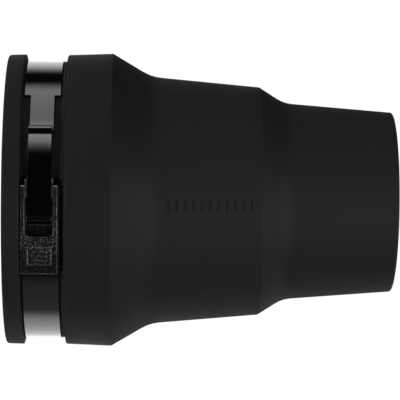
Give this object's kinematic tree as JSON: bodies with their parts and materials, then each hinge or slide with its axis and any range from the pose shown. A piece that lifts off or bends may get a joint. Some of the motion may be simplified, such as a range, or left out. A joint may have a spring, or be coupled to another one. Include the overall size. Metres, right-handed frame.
{
  "type": "snoot",
  "caption": "Soft rubber snoot for a round flash head: two-stage tapering barrel, clamped at its wide collar by a steel band with an over-centre draw latch.",
  "frame": {"origin": "centre of the mount rim's rear face, where the snoot stands when it is off the lamp", "axes": "+Z along the snoot from the mount rim to the light outlet, -Y out of the latch, -X from the latch towards the band's tongue"},
  "size_m": [0.1178, 0.1178, 0.1542],
  "materials": {
    "rubber": "matte moulded silicone",
    "band_steel": "gloss black spring steel",
    "strap_steel": "gloss black steel",
    "bracket_steel": "satin black steel",
    "cast_lever": "black, fine cast texture",
    "pin_steel": "dark oxide steel"
  },
  "bodies": {
    "snoot": {"snoot_body": "rubber", "clamp_band_lower": "band_steel", "latch_bracket": "bracket_steel", "bracket_rivet_1": "pin_steel", "bracket_rivet_2": "pin_steel", "pivot_rivet_rear": "pin_steel", "pivot_rivet_front": "pin_steel"},
    "band_end": {"clamp_band_upper": "band_steel", "keeper_pin": "pin_steel"},
    "lever": {"latch_lever": "cast_lever", "link_pin": "pin_steel"},
    "strap": {"link_strap": "strap_steel"}
  },
  "joints": [
    {"name": "lever_hinge", "type": "hinge", "parent": "snoot", "child": "lever", "pos_m": [-0.004, -0.05736, 0.01445], "axis": [0, 0, -1], "range_deg": [0, 120]},
    {"name": "strap_hinge", "type": "hinge", "parent": "lever", "child": "strap", "pos_m": [0.0074, -0.05667, 0.01445], "axis": [0, 0, -1], "range_deg": [-135, 0]},
    {"name": "band_spread", "type": "hinge", "parent": "snoot", "child": "band_end", "pos_m": [0, 0.0555, 0.01465], "axis": [0, 0, -1], "range_deg": [0, 2.6]}
  ],
  "couplings": [
    {"joint": "strap_hinge", "follows": "lever_hinge", "ratio": -1.12},
    {"joint": "band_spread", "follows": "lever_hinge", "ratio": 0.020833}
  ]
}
